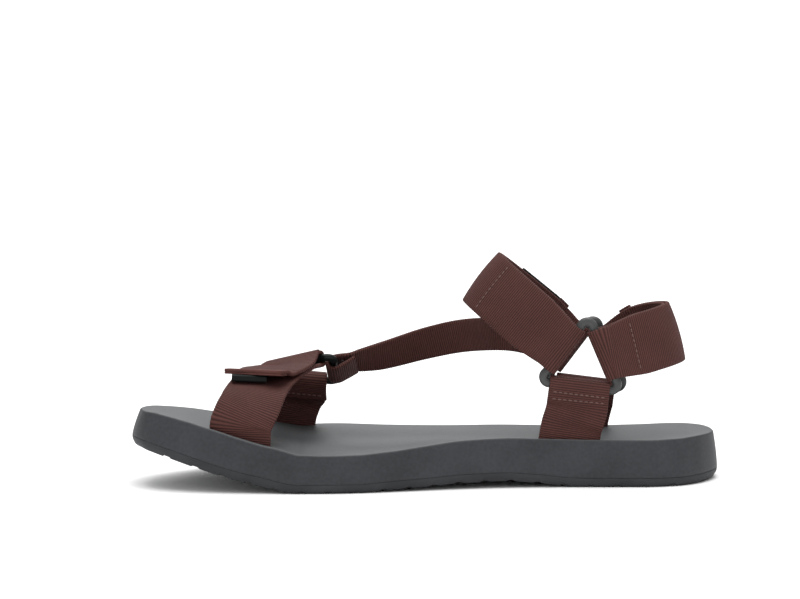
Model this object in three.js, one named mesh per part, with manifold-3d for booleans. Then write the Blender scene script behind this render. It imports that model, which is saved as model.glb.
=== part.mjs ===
// A flat strap sandal for the right foot: a moulded foam midsole on a thin rubber outsole,
// and an upper of woven webbing held by two triangular rings at the ankle and one at the toes.
// The toe points along -X, the inner (big toe) side along -Y, and the sole stands on Z = 0.
import * as THREE from "three";
import { mergeVertices } from "three/addons/utils/BufferGeometryUtils.js";
import Module from "manifold-3d";

const wasm = await Module();
wasm.setup();

// Driving sizes, in millimetres
const LENGTH = 254;
const BALL_WIDTH = 93.2;
const HEEL_HEIGHT = 20.3;
const TOE_SPRING = 18.2;
const ARCH_RISE = 2.9;
const CUP_DEPTH = 2.2;
const RIM_ROUND = 1;
const WALL_FLARE = 1.7;
const OUTSOLE_THICKNESS = 3.6;
const OUTSOLE_BEVEL = 1.7;
const GAP = 0.3;

// The tread: zigzag grooves across the sole. from, to: the first and last as shares of the length.
// reach: how far each runs past the middle, as a share of the ball width.
const TREAD_DEPTH = 1.3;
const TREAD_GROOVE = 2.6;
const TREAD_WAVE = 3.2;
const TREAD = { from: 0.06, to: 0.965, count: 21, peaks: 9, reach: 0.6 };

// The straps, in millimetres
const WEB_THICKNESS = 1.6;
const WEB_WIDTH = 26.4;
const WEB_EDGE = 0.6;
const FOLD_WIDTH = 22.8;
const FOLD_GAP = 0.4;
const ANCHOR_FOLD = 26;
const LINK_WIDTH = 14.5;
const SLOT_DEPTH = 8;
const SLOT_COVER = 6;
const SEWN_END = 9.5;
const TAIL_CLEARANCE = 2.6;
const LAYER_SPREAD = 10;
const BAND_SPREAD = 18;
const FOLD_START = 4.2;
const BAND_STEP = 7;

// How far the straps round the leg reach from the ankle rings, and how much they are lifted on the way
const INSTEP_REACH = 47.6;
const INSTEP_LIFT = 2.6;
const HEEL_REACH = 30.2;
const HEEL_LIFT = 3;

// The rings and the pull bar, in millimetres
const RING_HEIGHT = 53.3;
const RING_SIDE = 35.6;
const RING_CORNER = 2.6;
const BAR_RADIUS = 1.6;
const PULL_LENGTH = 15;
const PULL_DEPTH = 4.2;
const PULL_HEIGHT = 3;
const PULL_WALL = 1;
const PULL_ROUND = 0.9;

// Directions in degrees: how the straps round the leg head up from level, and how the ankle rings turn
const INSTEP_RISE = 143;
const HEEL_RISE = 16.5;
const RING_TILT = -7;

// Mesh fineness
const STATIONS = 40;
const CAP_COLUMNS = 8;
const TURN_STEPS = 6;
const STRAP_STEP = 4.5;
const BAR_SIDES = 8;
const CORNER_STEPS = 5;

// The sole from toe to heel. at: share of the length. inner, outer: edges as shares of the ball width.
// spring, arch: rise of the underside as shares of the toe spring and of the arch rise.
// wallIn, wallOut: wall heights as shares of the heel height. cup: share of the cup depth.
const SOLE_SECTIONS = [
  { at: 0.0, inner: -0.169, outer: -0.169, spring: 1.0, arch: 0, wallIn: 0.73, wallOut: 0.73, cup: 0 },
  { at: 0.015, inner: -0.31, outer: -0.02, spring: 0.964, arch: 0, wallIn: 0.76, wallOut: 0.72, cup: 0.1 },
  { at: 0.033, inner: -0.366, outer: 0.053, spring: 0.907, arch: 0, wallIn: 0.79, wallOut: 0.72, cup: 0.2 },
  { at: 0.067, inner: -0.42, outer: 0.157, spring: 0.784, arch: 0, wallIn: 0.82, wallOut: 0.73, cup: 0.3 },
  { at: 0.111, inner: -0.456, outer: 0.262, spring: 0.598, arch: 0, wallIn: 0.835, wallOut: 0.75, cup: 0.4 },
  { at: 0.167, inner: -0.48, outer: 0.358, spring: 0.361, arch: 0, wallIn: 0.84, wallOut: 0.81, cup: 0.5 },
  { at: 0.222, inner: -0.49, outer: 0.424, spring: 0.175, arch: 0, wallIn: 0.825, wallOut: 0.825, cup: 0.5 },
  { at: 0.285, inner: -0.5, outer: 0.474, spring: 0, arch: 0, wallIn: 0.82, wallOut: 0.86, cup: 0.4 },
  { at: 0.333, inner: -0.496, outer: 0.493, spring: 0, arch: 0, wallIn: 0.8, wallOut: 0.865, cup: 0.4 },
  { at: 0.385, inner: -0.479, outer: 0.5, spring: 0, arch: 0, wallIn: 0.81, wallOut: 0.85, cup: 0.4 },
  { at: 0.437, inner: -0.447, outer: 0.497, spring: 0, arch: 0.29, wallIn: 0.815, wallOut: 0.79, cup: 0.5 },
  { at: 0.5, inner: -0.4, outer: 0.486, spring: 0, arch: 0.55, wallIn: 0.866, wallOut: 0.75, cup: 0.6 },
  { at: 0.563, inner: -0.357, outer: 0.468, spring: 0, arch: 0.87, wallIn: 0.907, wallOut: 0.718, cup: 0.7 },
  { at: 0.63, inner: -0.325, outer: 0.444, spring: 0, arch: 1, wallIn: 0.917, wallOut: 0.727, cup: 0.8 },
  { at: 0.689, inner: -0.309, outer: 0.424, spring: 0, arch: 0.65, wallIn: 0.944, wallOut: 0.782, cup: 0.9 },
  { at: 0.741, inner: -0.303, outer: 0.412, spring: 0, arch: 0.16, wallIn: 0.995, wallOut: 0.852, cup: 1 },
  { at: 0.785, inner: -0.302, outer: 0.406, spring: 0, arch: 0, wallIn: 1.005, wallOut: 0.875, cup: 1 },
  { at: 0.874, inner: -0.3, outer: 0.388, spring: 0, arch: 0, wallIn: 1.0, wallOut: 0.917, cup: 1 },
  { at: 0.926, inner: -0.265, outer: 0.355, spring: 0, arch: 0, wallIn: 1.01, wallOut: 0.963, cup: 0.8 },
  { at: 0.963, inner: -0.192, outer: 0.284, spring: 0, arch: 0.1, wallIn: 1.01, wallOut: 0.986, cup: 0.5 },
  { at: 0.985, inner: -0.106, outer: 0.2, spring: 0, arch: 0.2, wallIn: 0.99, wallOut: 0.99, cup: 0.2 },
  { at: 1.0, inner: 0.047, outer: 0.047, spring: 0, arch: 0.26, wallIn: 0.97, wallOut: 0.97, cup: 0 },
];

const mix = (a, b, t) => a + (b - a) * t;

// The angle that spaces stations closely at toe and heel, so that both ends come out round.
const turnOf = (at) => Math.acos(1 - 2 * Math.min(Math.max(at, 0), 1));
const atOf = (turn) => (1 - Math.cos(turn)) / 2;
const SECTION_TURNS = SOLE_SECTIONS.map((row) => turnOf(row.at));

// One column of the table at a turn, through a cubic that never swings past its rows.
function column(name, turn) {
  const last = SECTION_TURNS.length - 1;
  let k = 0;
  while (k < last - 1 && turn > SECTION_TURNS[k + 1]) k += 1;
  const slopeAfter = (i) =>
    (SOLE_SECTIONS[i + 1][name] - SOLE_SECTIONS[i][name]) / (SECTION_TURNS[i + 1] - SECTION_TURNS[i]);
  const tangent = (i) => {
    if (i === 0) return slopeAfter(0);
    if (i === last) return slopeAfter(last - 1);
    const before = slopeAfter(i - 1);
    const after = slopeAfter(i);
    return before * after <= 0 ? 0 : (2 * before * after) / (before + after);
  };
  const span = SECTION_TURNS[k + 1] - SECTION_TURNS[k];
  const t = Math.min(Math.max((turn - SECTION_TURNS[k]) / span, 0), 1);
  const squared = t * t;
  const cubed = squared * t;
  return (
    (2 * cubed - 3 * squared + 1) * SOLE_SECTIONS[k][name] +
    (cubed - 2 * squared + t) * span * tangent(k) +
    (3 * squared - 2 * cubed) * SOLE_SECTIONS[k + 1][name] +
    (cubed - squared) * span * tangent(k + 1)
  );
}

const undersideAt = (turn) => column("spring", turn) * TOE_SPRING + column("arch", turn) * ARCH_RISE;

// How far the wall leans back for each millimetre up, square to the toe spring.
function leanAt(turn) {
  const step = 0.02;
  const from = Math.max(turn - step, 0.1);
  const to = Math.min(from + 2 * step, Math.PI);
  const fall = (column("spring", from) - column("spring", to)) * TOE_SPRING;
  return fall / ((atOf(to) - atOf(from)) * LENGTH);
}

// The footbed's height at a station and a share of the width, 0 at the inner edge and 1 at the outer.
function footbedAt(turn, side) {
  const wall = mix(column("wallIn", turn), column("wallOut", turn), side) * HEEL_HEIGHT;
  return undersideAt(turn) + wall - column("cup", turn) * CUP_DEPTH * Math.sin(Math.PI * side);
}

const TURN_RADIUS = BAR_RADIUS + FOLD_GAP + WEB_THICKNESS / 2;
const LAYER = (WEB_THICKNESS + GAP) / 2;

const place = (x, y, z) => new THREE.Vector3(x, y, z);
// A spot of the upper, as shares of the length, of the ball width and of the ankle rings' height.
const spot = ({ along, aside, up }) => place(along * LENGTH, aside * BALL_WIDTH, up * RING_HEIGHT);
const radians = THREE.MathUtils.degToRad;
const UP = place(0, 0, 1);
const squareTo = (vector, axis) => vector.clone().addScaledVector(axis, -vector.dot(axis)).normalize();
const stop = (at, across, width = WEB_WIDTH) => ({ at, across: across.clone().normalize(), width });

// Turns a list of triangles into one closed geometry with shared corners.
function closedFrom(triangles) {
  const raw = new THREE.BufferGeometry();
  const places = triangles.flatMap((corner) => [corner.x, corner.y, corner.z]);
  raw.setAttribute("position", new THREE.Float32BufferAttribute(places, 3));
  const merged = mergeVertices(raw, 1e-3);
  const corners = merged.index.array;
  const kept = [];
  for (let k = 0; k < corners.length; k += 3) {
    const [a, b, c] = [corners[k], corners[k + 1], corners[k + 2]];
    if (a !== b && b !== c && c !== a) kept.push(a, b, c);
  }
  merged.setIndex(kept);
  return merged;
}

function toSolid(geometry) {
  const bare = geometry.index
    ? geometry.clone()
    : mergeVertices(geometry.clone().deleteAttribute("normal"), 1e-3);
  return new wasm.Manifold(
    new wasm.Mesh({
      numProp: 3,
      vertProperties: new Float32Array(bare.attributes.position.array),
      triVerts: new Uint32Array(bare.index.array),
    }),
  );
}

function toGeometry(solid) {
  const mesh = solid.getMesh();
  const geometry = new THREE.BufferGeometry();
  geometry.setAttribute("position", new THREE.Float32BufferAttribute(mesh.vertProperties, 3));
  geometry.setIndex(Array.from(mesh.triVerts));
  return geometry;
}

const group = new THREE.Group();

function addPart(name, geometry, material) {
  geometry.computeVertexNormals();
  const mesh = new THREE.Mesh(geometry, material.clone());
  mesh.name = name;
  group.add(mesh);
}

const webbing = new THREE.MeshStandardMaterial({ color: 0x4a2a26, roughness: 0.85, metalness: 0 });
const foam = new THREE.MeshStandardMaterial({ color: 0x55585b, roughness: 0.8, metalness: 0 });
const rubber = new THREE.MeshStandardMaterial({ color: 0x3a3c3c, roughness: 0.9, metalness: 0 });
const greyPlastic = new THREE.MeshStandardMaterial({ color: 0x58625f, roughness: 0.45, metalness: 0 });
const blackPlastic = new THREE.MeshStandardMaterial({ color: 0x1c2322, roughness: 0.4, metalness: 0 });

// The sole: its walls, footbed and underside

// A point of the outline at a station, 0 for the inner edge and 1 for the outer.
function outlineAt(turn, side) {
  return place((atOf(turn) - 0.5) * LENGTH, column(side ? "outer" : "inner", turn) * BALL_WIDTH, 0);
}

function outwardAt(turn, side) {
  if (turn <= 0) return place(-1, 0, 0);
  if (turn >= Math.PI) return place(1, 0, 0);
  const step = 0.02;
  const ahead = outlineAt(Math.min(turn + step, Math.PI), side);
  const along = ahead.sub(outlineAt(Math.max(turn - step, 0), side));
  return side ? place(-along.y, along.x, 0).normalize() : place(along.y, -along.x, 0).normalize();
}

const wallAt = (turn, side) => column(side ? "wallOut" : "wallIn", turn) * HEEL_HEIGHT;

// A point on the side of the sole, inset from the outline and raised from the underside.
function sidePoint(turn, side, inset, height) {
  const point = outlineAt(turn, side).addScaledVector(outwardAt(turn, side), -inset);
  point.x += leanAt(turn) * (height - OUTSOLE_THICKNESS);
  point.z = undersideAt(turn) + height;
  return point;
}

// A slab bounded by rings from bottom to top, closed below by a flat sheet and above by a dished one.
function slab(rings, dished) {
  const turns = Array.from({ length: STATIONS + 1 }, (_, k) => (Math.PI * k) / STATIONS);
  const triangles = [];
  const quad = (a, b, c, d) => triangles.push(a, b, c, a, c, d);
  const loops = rings.map((ring) => {
    const inner = turns.map((turn) => ring(turn, 0));
    const outer = turns.map((turn) => ring(turn, 1));
    return [...inner, ...outer.slice(1, -1).reverse()];
  });
  for (let level = 0; level < loops.length - 1; level += 1) {
    const low = loops[level];
    const high = loops[level + 1];
    low.forEach((corner, k) => {
      const next = (k + 1) % low.length;
      quad(corner, low[next], high[next], high[k]);
    });
  }
  const sheet = (ring, columns, sunk) =>
    turns.map((turn, k) => {
      const inner = ring(turn, 0);
      const outer = k === 0 || k === STATIONS ? inner : ring(turn, 1);
      return Array.from({ length: columns + 1 }, (_, j) => {
        const point = inner.clone().lerp(outer, j / columns);
        const isInside = j > 0 && j < columns && k > 0 && k < STATIONS;
        if (sunk && isInside) point.z = footbedAt(turn, j / columns);
        return point;
      });
    });
  const fill = (rows, faceUp) => {
    for (let k = 0; k < STATIONS; k += 1) {
      for (let j = 0; j < rows[0].length - 1; j += 1) {
        const corners = [rows[k][j], rows[k + 1][j], rows[k + 1][j + 1], rows[k][j + 1]];
        quad(...(faceUp ? corners : corners.reverse()));
      }
    }
  };
  fill(sheet(rings[0], 1, false), false);
  fill(sheet(rings[rings.length - 1], dished ? CAP_COLUMNS : 1, dished), true);
  return toSolid(closedFrom(triangles));
}

// A zigzag groove across the tread at a share of the length.
function treadGroove(at) {
  const turn = turnOf(at);
  const reach = BALL_WIDTH * TREAD.reach;
  const edge = (shift) =>
    Array.from({ length: TREAD.peaks }, (_, k) => {
      const y = mix(-reach, reach, k / (TREAD.peaks - 1));
      return new THREE.Vector2((at - 0.5) * LENGTH + shift + (k % 2 ? 1 : -1) * (TREAD_WAVE / 2), y);
    });
  const outline = [...edge(-TREAD_GROOVE / 2), ...edge(TREAD_GROOVE / 2).reverse()];
  const depth = undersideAt(turn) + TREAD_DEPTH + SLOT_COVER;
  const bar = new THREE.ExtrudeGeometry(new THREE.Shape(outline), { depth, bevelEnabled: false, steps: 1 });
  bar.deleteAttribute("normal");
  bar.deleteAttribute("uv");
  bar.translate(0, 0, -SLOT_COVER);
  return toSolid(mergeVertices(bar, 1e-3));
}

function makeOutsole() {
  const rings = [
    (turn, side) => sidePoint(turn, side, OUTSOLE_BEVEL, 0),
    (turn, side) => sidePoint(turn, side, OUTSOLE_BEVEL * 0.2, OUTSOLE_THICKNESS * 0.55),
    (turn, side) => sidePoint(turn, side, 0, OUTSOLE_THICKNESS),
  ];
  let solid = slab(rings, false);
  for (let k = 0; k < TREAD.count; k += 1) {
    solid = solid.subtract(treadGroove(mix(TREAD.from, TREAD.to, k / (TREAD.count - 1))));
  }
  return solid;
}

function makeMidsole(slots) {
  const foot = OUTSOLE_THICKNESS + GAP;
  const rings = [
    (turn, side) => sidePoint(turn, side, 0, foot),
    (turn, side) => sidePoint(turn, side, WALL_FLARE * 0.35, mix(foot, wallAt(turn, side), 0.5)),
    (turn, side) => sidePoint(turn, side, WALL_FLARE, wallAt(turn, side) - RIM_ROUND),
    (turn, side) =>
      sidePoint(turn, side, WALL_FLARE + RIM_ROUND * 0.35, wallAt(turn, side) - RIM_ROUND * 0.35),
    (turn, side) => sidePoint(turn, side, WALL_FLARE + RIM_ROUND, wallAt(turn, side)),
  ];
  return slots.reduce((solid, slot) => solid.subtract(slot), slab(rings, true));
}

// Where a strap enters the footbed: its place and the run of the sole's edge there.
function entry({ at, side }) {
  const surface = (turn) => {
    const inner = sidePoint(turn, 0, WALL_FLARE + RIM_ROUND, wallAt(turn, 0));
    const outer = sidePoint(turn, 1, WALL_FLARE + RIM_ROUND, wallAt(turn, 1));
    const point = inner.lerp(outer, side);
    point.z = footbedAt(turn, side);
    return point;
  };
  const turn = turnOf(at);
  const reach = 0.08;
  return { at: surface(turn), across: surface(turn + reach).sub(surface(turn - reach)).normalize() };
}

// at: share of the length. side: share of the width, from the inner edge. lean: how the strap stands there.
const ENTRIES = {
  toeMedial: { at: 0.171, side: 0.055, lean: place(0.06, -0.09, 1) },
  toeLateral: { at: 0.241, side: 0.965, lean: place(0.22, -0.2, 1) },
  ankleMedial: { at: 0.7425, side: 0.035, lean: place(0.18, 0.02, 1) },
  ankleLateral: { at: 0.764, side: 0.965, lean: place(0.17, -0.2, 1) },
};

// The run of a strap out of its slot in the footbed, as stops.
function footOf({ at, side, lean }) {
  const foot = entry({ at, side });
  const upward = lean.clone().normalize();
  const raised = (rise) => foot.at.clone().addScaledVector(upward, rise);
  return [-SLOT_DEPTH, 0, SLOT_COVER].map((rise) => stop(raised(rise), foot.across));
}

// A strap through a list of stops, six-sided with thinned edges. swell widens it into the tool for its slot.
function ribbon(stops, swell = 0) {
  const path = new THREE.CatmullRomCurve3(stops.map((row) => row.at), false, "centripetal");
  const spans = stops.length - 1;
  const half = WEB_THICKNESS / 2 + swell;
  const sections = [];
  const addSection = (share, extend) => {
    const k = Math.min(Math.floor(share * spans), spans - 1);
    const t = share * spans - k;
    const along = path.getTangent(share);
    const centre = path.getPoint(share).addScaledVector(along, extend);
    const across = squareTo(stops[k].across.clone().lerp(stops[k + 1].across, t), along);
    const up = along.clone().cross(across);
    const side = mix(stops[k].width, stops[k + 1].width, t) / 2 + swell;
    const corner = (a, b) => centre.clone().addScaledVector(across, a).addScaledVector(up, b);
    const flat = side - WEB_EDGE;
    sections.push([
      corner(-side, 0),
      corner(-flat, -half),
      corner(flat, -half),
      corner(side, 0),
      corner(flat, half),
      corner(-flat, half),
    ]);
  };
  addSection(0, -swell);
  for (let k = 0; k < spans; k += 1) {
    const steps = Math.max(1, Math.round(stops[k].at.distanceTo(stops[k + 1].at) / STRAP_STEP));
    for (let j = 1; j <= steps; j += 1) {
      addSection((k + j / steps) / spans, k === spans - 1 && j === steps ? swell : 0);
    }
  }
  const triangles = [];
  for (let k = 0; k < sections.length - 1; k += 1) {
    sections[k].forEach((corner, j) => {
      const next = (j + 1) % sections[k].length;
      triangles.push(corner, sections[k][next], sections[k + 1][next]);
      triangles.push(corner, sections[k + 1][next], sections[k + 1][j]);
    });
  }
  const cap = (section, isStart) => {
    for (let j = 1; j < section.length - 1; j += 1) {
      const [a, b] = isStart ? [section[j + 1], section[j]] : [section[j], section[j + 1]];
      triangles.push(section[0], a, b);
    }
  };
  cap(sections[0], true);
  cap(sections[sections.length - 1], false);
  return closedFrom(triangles);
}

// A bar of a ring between two corners, with the middle that a strap folds round.
function barBetween(from, to, share = 0.5) {
  return { middle: from.clone().lerp(to, share), along: to.clone().sub(from).normalize() };
}

// A round-cornered ring through three corners.
function ringThrough(corners, radius) {
  const normal = corners[1].clone().sub(corners[0]).cross(corners[2].clone().sub(corners[0])).normalize();
  const path = [];
  corners.forEach((corner, k) => {
    const before = corners[(k + 2) % 3].clone().sub(corner).normalize();
    const after = corners[(k + 1) % 3].clone().sub(corner).normalize();
    const middle = before.clone().add(after).normalize();
    const halfAngle = before.angleTo(after) / 2;
    const centre = corner.clone().addScaledVector(middle, radius / Math.sin(halfAngle));
    const sweep = Math.PI / 2 - halfAngle;
    const aside = normal.clone().cross(middle);
    for (let j = 0; j <= CORNER_STEPS; j += 1) {
      const angle = mix(-sweep, sweep, j / CORNER_STEPS);
      const out = middle.clone().multiplyScalar(-Math.cos(angle)).addScaledVector(aside, -Math.sin(angle));
      path.push({ at: centre.clone().addScaledVector(out, radius), out });
    }
  });
  const loops = path.map(({ at, out }) =>
    Array.from({ length: BAR_SIDES }, (_, j) => {
      const angle = (2 * Math.PI * (j + 0.5)) / BAR_SIDES;
      return at
        .clone()
        .addScaledVector(out, Math.cos(angle) * BAR_RADIUS)
        .addScaledVector(normal, Math.sin(angle) * BAR_RADIUS);
    }),
  );
  const triangles = [];
  loops.forEach((loop, k) => {
    const following = loops[(k + 1) % loops.length];
    loop.forEach((corner, j) => {
      const next = (j + 1) % BAR_SIDES;
      triangles.push(corner, following[j], following[next], corner, following[next], loop[next]);
    });
  });
  return closedFrom(triangles);
}

// The turn of a strap round a bar, from one face of the strap's run to the other.
function turnRound(bar, out, from, width) {
  const away = squareTo(out, bar.along);
  const beside = squareTo(squareTo(from, bar.along), away);
  return Array.from({ length: TURN_STEPS + 1 }, (_, k) => {
    const angle = Math.PI * (0.5 + k / TURN_STEPS);
    const at = bar.middle
      .clone()
      .addScaledVector(away, Math.cos(angle) * TURN_RADIUS)
      .addScaledVector(beside, Math.sin(angle) * TURN_RADIUS);
    return stop(at, bar.along, width);
  });
}

// How far a layer stands off the strap's middle at a distance from the bar it folds round.
function standOff(distance) {
  const t = THREE.MathUtils.smoothstep(distance, 1, LAYER_SPREAD);
  return mix(TURN_RADIUS, LAYER, t);
}

// A strap's width at a distance from the ring that gathers it to the width of its fold.
const widthAt = (distance, width, fold, spread = 8) =>
  mix(fold, width, THREE.MathUtils.smoothstep(distance, 2, spread));

// A fold with its sewn end, as stops: near the bar on one face, round it, and back on the other.
function sewnFold(bar, out, from, width, fold, runIn) {
  const away = squareTo(out, bar.along);
  const beside = squareTo(squareTo(from, bar.along), away);
  const onFace = (distance, face) =>
    stop(
      bar.middle
        .clone()
        .addScaledVector(away, distance)
        .addScaledVector(beside, face * standOff(distance)),
      bar.along,
      widthAt(distance, width, fold),
    );
  return [
    ...runIn.map((distance) => onFace(distance, 1)),
    ...turnRound(bar, out, from, fold),
    onFace(SEWN_END * 0.45, -1),
    onFace(SEWN_END, -1),
  ];
}

// A short strap from the footbed up to a ring's lower bar. Between its slot and its fold it follows a cubic,
// pushed outwards by the bulge.
function anchor(place, bar, outward, fold, bulge) {
  const foot = footOf(place);
  const down = foot[1].at.clone().sub(bar.middle);
  const sewn = sewnFold(bar, down, outward, WEB_WIDTH, fold, [SEWN_END, SEWN_END * 0.45]);
  const [low, high] = [foot[2], sewn[0]];
  const distance = low.at.distanceTo(high.at);
  const swing = foot[2].at.clone().sub(foot[1].at).normalize().add(squareTo(down, bar.along));
  const middle = low.at
    .clone()
    .lerp(high.at, 0.5)
    .addScaledVector(swing, distance / 8)
    .addScaledVector(outward, bulge);
  return [...foot, stop(middle, low.across.clone().lerp(bar.along, 0.5)), ...sewn];
}

// The ankle rings stand upright at both sides of the leg. The lateral one hangs lower.
const RING_MEDIAL = spot({ along: 0.2646, aside: -0.236, up: 1 });
const RING_LATERAL = spot({ along: 0.2815, aside: 0.295, up: 0.891 });

function ankleCorners(centre) {
  const reach = RING_SIDE / Math.sqrt(3);
  const corner = (degrees) =>
    place(Math.cos(radians(degrees + RING_TILT)), 0, Math.sin(radians(degrees + RING_TILT)))
      .multiplyScalar(reach)
      .add(centre);
  return { top: corner(90), front: corner(210), rear: corner(330) };
}

const MEDIAL = ankleCorners(RING_MEDIAL);
const LATERAL = ankleCorners(RING_LATERAL);

// The straps round the leg. reach: share of the strap's reach from the rings. lift: share of its lift.
// aside: share of half the distance between the rings, from the medial ring at -1 to the lateral at 1.
const INSTEP_COURSE = [
  { reach: 0, aside: -1, lift: 0 },
  { reach: 0.2, aside: -0.92, lift: 0.2 },
  { reach: 0.42, aside: -0.8, lift: 0.42 },
  { reach: 0.65, aside: -0.62, lift: 0.65 },
  { reach: 0.85, aside: -0.4, lift: 0.85 },
  { reach: 0.97, aside: -0.14, lift: 0.97 },
  { reach: 0.99, aside: 0.12, lift: 0.99 },
  { reach: 0.9, aside: 0.4, lift: 0.9 },
  { reach: 0.72, aside: 0.64, lift: 0.72 },
  { reach: 0.5, aside: 0.82, lift: 0.5 },
  { reach: 0.25, aside: 0.95, lift: 0.25 },
  { reach: 0, aside: 1, lift: 0 },
];
const HEEL_COURSE = [
  { reach: 0, aside: -1, lift: 0 },
  { reach: 0.28, aside: -0.86, lift: 0 },
  { reach: 0.56, aside: -0.66, lift: 0 },
  { reach: 0.8, aside: -0.44, lift: 0 },
  { reach: 0.95, aside: -0.22, lift: 0.1 },
  { reach: 1, aside: 0.02, lift: 0.25 },
  { reach: 0.94, aside: 0.26, lift: 0.5 },
  { reach: 0.78, aside: 0.5, lift: 0.85 },
  { reach: 0.54, aside: 0.72, lift: 1 },
  { reach: 0.27, aside: 0.9, lift: 0.6 },
  { reach: 0, aside: 1, lift: 0 },
];

// The middle surface of a strap that runs from the medial ring round the leg to the lateral ring.
// Each bar points to the upper edge of the strap.
function bandCourse(rows, medialBar, lateralBar, reach, rise, lift) {
  const heading = place(Math.cos(radians(rise)), 0, Math.sin(radians(rise)));
  const upright = squareTo(UP, heading);
  const points = rows.map((row, k) => {
    const point = medialBar.middle.clone().lerp(lateralBar.middle, k / (rows.length - 1));
    point.y = mix(medialBar.middle.y, lateralBar.middle.y, (row.aside + 1) / 2);
    return point.addScaledVector(heading, row.reach * reach).addScaledVector(upright, row.lift * lift);
  });
  const path = new THREE.CatmullRomCurve3(points, false, "centripetal");
  const facing = Math.sign(upright.clone().cross(place(0, 1, 0)).dot(heading));
  return { path, upright, facing, medialBar, lateralBar };
}

// A point of a band at a share of its run, shifted up its width and out from its middle surface.
function bandPoint(band, share, up, out) {
  const along = band.path.getTangentAt(share);
  const outward = band.upright.clone().cross(along).multiplyScalar(band.facing);
  return band.path.getPointAt(share).addScaledVector(band.upright, up).addScaledVector(outward, out);
}

function bandStop(band, share, face) {
  const length = band.path.getLength();
  const fromMedial = share * length;
  const fromLateral = (1 - share) * length;
  const nearest = Math.min(fromMedial, fromLateral);
  const bar = fromMedial < fromLateral ? band.medialBar : band.lateralBar;
  const across = bar.along.clone().lerp(band.upright, THREE.MathUtils.smoothstep(nearest, 6, 20));
  const at = bandPoint(band, share, 0, face * standOff(nearest));
  return stop(at, across, widthAt(nearest, WEB_WIDTH, FOLD_WIDTH, BAND_SPREAD));
}

// One long strap in two layers: its tail lies outside on the lateral side, it folds round the medial bar,
// comes back as the inner layer and is sewn round the lateral bar.
function band(course) {
  const length = course.path.getLength();
  const tailShare = 1 - (SEWN_END + TAIL_CLEARANCE) / length;
  const nearShare = FOLD_START / length;
  const run = (from, to, face) => {
    const count = Math.max(2, Math.round((Math.abs(to - from) * length) / BAND_STEP));
    return Array.from({ length: count + 1 }, (_, k) => bandStop(course, mix(from, to, k / count), face));
  };
  const outMedial = course.path.getPointAt(nearShare).sub(course.medialBar.middle);
  const outLateral = course.path.getPointAt(1 - nearShare).sub(course.lateralBar.middle);
  return [
    ...run(tailShare, nearShare, 1),
    ...turnRound(course.medialBar, outMedial, place(0, -1, 0), FOLD_WIDTH),
    ...run(nearShare, 1 - nearShare, -1),
    ...turnRound(course.lateralBar, outLateral, place(0, -1, 0), FOLD_WIDTH),
    bandStop(course, 1 - nearShare, 1),
    bandStop(course, 1 - SEWN_END / length, 1),
  ];
}

// The toe ring lies on the outer side of the toes: its corners name the straps that meet there
const TOE_CORNERS = {
  front: spot({ along: -0.2992, aside: 0.2468, up: 0.7974 }),
  top: spot({ along: -0.1614, aside: 0.1073, up: 0.9756 }),
  rear: spot({ along: -0.1535, aside: 0.3112, up: 0.718 }),
};
const TOE_BAR = barBetween(TOE_CORNERS.front, TOE_CORNERS.top, 0.59);
const SIDE_BAR = barBetween(TOE_CORNERS.front, TOE_CORNERS.rear, 0.565);
const LINK_BAR = barBetween(TOE_CORNERS.rear, TOE_CORNERS.top, 0.475);

// The toe strap's spots, as shares of the named sizes. turned: how far its width has turned from the
// sole's edge, at 0, to the way that it lies over the toes, at 1, and to the ring's bar, at 2.
const OVER_TOES = [
  { along: -0.2996, aside: -0.3788, up: 0.6754, turned: 0.6 },
  { along: -0.2885, aside: -0.3058, up: 0.7786, turned: 1 },
  { along: -0.2795, aside: -0.1931, up: 0.8218, turned: 1 },
  { along: -0.2618, aside: -0.059, up: 0.8386, turned: 1.4 },
];
const FLAP = [
  { along: -0.2697, aside: -0.1073, up: 0.899 },
  { along: -0.2846, aside: -0.1824, up: 0.919 },
  { along: -0.2937, aside: -0.2489, up: 0.934 },
];

// Over the toes from the medial side, round the ring's upper bar and back as the closing flap
function toeStrap() {
  const foot = footOf(ENTRIES.toeMedial);
  const overToes = place(0.995, -0.02, -0.055);
  const flapEnd = place(0.998, 0, -0.035);
  const out = place(-0.44, -0.88, -0.12);
  const away = squareTo(out, TOE_BAR.along);
  const above = squareTo(squareTo(UP, TOE_BAR.along), away);
  const fromBar = (distance, rise) =>
    TOE_BAR.middle.clone().addScaledVector(away, distance).addScaledVector(above, rise);
  const turned = (share) =>
    share < 1
      ? foot[1].across.clone().lerp(overToes, share)
      : overToes.clone().lerp(TOE_BAR.along, share - 1);
  const flapRise = 2 * LAYER + WEB_THICKNESS + GAP;
  return [
    ...foot,
    ...OVER_TOES.map((row) => stop(spot(row), turned(row.turned))),
    stop(fromBar(10, -1.35), TOE_BAR.along, widthAt(10, WEB_WIDTH, FOLD_WIDTH)),
    stop(fromBar(4.5, -standOff(4.5)), TOE_BAR.along, FOLD_WIDTH),
    ...turnRound(TOE_BAR, out, UP.clone().negate(), FOLD_WIDTH),
    stop(fromBar(6, flapRise + 0.3), TOE_BAR.along, widthAt(6, WEB_WIDTH, FOLD_WIDTH)),
    stop(fromBar(15, flapRise - 1.5), TOE_BAR.along.clone().lerp(flapEnd, 0.4)),
    ...FLAP.map((row) => stop(spot(row), flapEnd)),
  ];
}

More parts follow.
